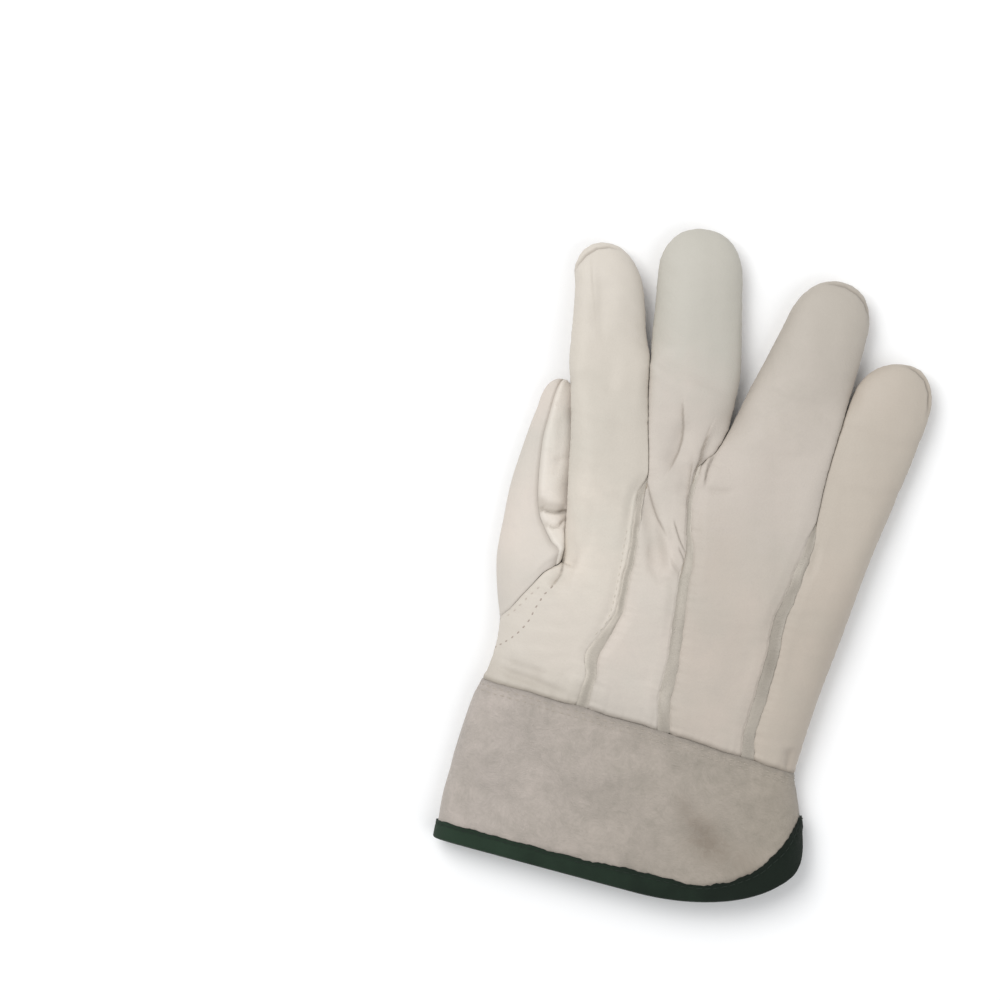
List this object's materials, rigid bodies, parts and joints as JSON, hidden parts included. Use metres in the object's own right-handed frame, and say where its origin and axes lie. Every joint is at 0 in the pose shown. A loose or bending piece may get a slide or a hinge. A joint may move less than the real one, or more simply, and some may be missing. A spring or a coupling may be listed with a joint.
{
  "type": "leather work glove",
  "caption": "Right-hand leather work glove lying palm down: strip-cut back with seamed fingers, a set-in thumb and a flared safety cuff with a bound hem.",
  "frame": {"origin": "bottom centre of the bounding box, on the surface that the glove lies on", "axes": "+Y to the fingertips, +X to the little finger, +Z out of the back of the hand"},
  "size_m": [0.155, 0.2636, 0.0241],
  "materials": {
    "leather": "smooth cream grain leather, matt",
    "seam_leather": "raw leather strip, matt",
    "split_leather": "napped split leather",
    "binding_tape": "dark green woven tape"
  },
  "bodies": {
    "root": {"back_index": "leather", "back_middle": "leather", "back_ring": "leather", "back_little": "leather", "palm": "leather", "thumb_outer": "leather", "thumb_inner": "leather", "seam_strip_index": "seam_leather", "seam_strip_middle": "seam_leather", "seam_strip_ring": "seam_leather", "cuff": "split_leather", "cuff_binding": "binding_tape"}
  },
  "joints": []
}
